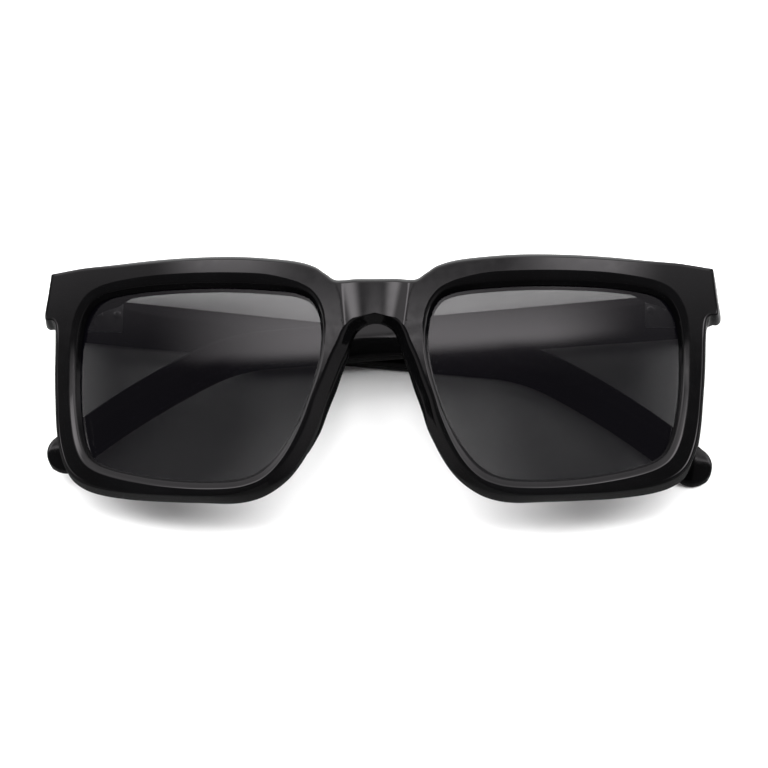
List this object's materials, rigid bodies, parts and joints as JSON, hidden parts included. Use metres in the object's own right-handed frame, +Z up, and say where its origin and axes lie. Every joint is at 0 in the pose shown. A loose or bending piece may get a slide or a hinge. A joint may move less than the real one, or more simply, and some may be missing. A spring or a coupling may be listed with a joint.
{
  "type": "sunglasses",
  "caption": "Folding full-rim sunglasses with a squared thick plastic front, dark curved lenses, saddle bridge and barrel-hinged temples, shown folded and lying face up.",
  "frame": {"origin": "middle of the underside of the folded pair's box, on the surface that it lies on", "axes": "+X towards the wearer's left end of the front, +Y towards the brow, +Z up, out of the front's face"},
  "size_m": [0.1474, 0.0558, 0.0305],
  "materials": {
    "front_plastic": "polished black",
    "temple_plastic": "polished black",
    "pad_plastic": "polished black",
    "lens_tint": "dark grey tint, hard coated",
    "hinge_steel": "satin",
    "screw_steel": "bright",
    "rivet_steel": "bright",
    "core_steel": "drawn wire"
  },
  "bodies": {
    "front": {"front_frame": "front_plastic", "lens_left": "lens_tint", "lens_right": "lens_tint", "nose_pad_left": "pad_plastic", "nose_pad_right": "pad_plastic", "front_hinge_leaf_left": "hinge_steel", "front_hinge_leaf_right": "hinge_steel", "hinge_screw_left": "screw_steel", "hinge_screw_right": "screw_steel", "front_rivet_left_upper": "rivet_steel", "front_rivet_left_lower": "rivet_steel", "front_rivet_right_upper": "rivet_steel", "front_rivet_right_lower": "rivet_steel"},
    "temple_left": {"temple_left": "temple_plastic", "temple_core_left": "core_steel", "temple_hinge_leaf_left": "hinge_steel", "temple_rivet_left_near": "rivet_steel", "temple_rivet_left_far": "rivet_steel"},
    "temple_right": {"temple_right": "temple_plastic", "temple_core_right": "core_steel", "temple_hinge_leaf_right": "hinge_steel", "temple_rivet_right_near": "rivet_steel", "temple_rivet_right_far": "rivet_steel"}
  },
  "joints": [
    {"name": "temple_left_hinge", "type": "hinge", "parent": "front", "child": "temple_left", "pos_m": [0.06755, 0.02142, 0.00987], "axis": [0, -1, 0], "range_deg": [0, 92.9]},
    {"name": "temple_right_hinge", "type": "hinge", "parent": "front", "child": "temple_right", "pos_m": [-0.0674, 0.02142, 0.0061], "axis": [0, 1, 0], "range_deg": [0, 88.4]}
  ]
}
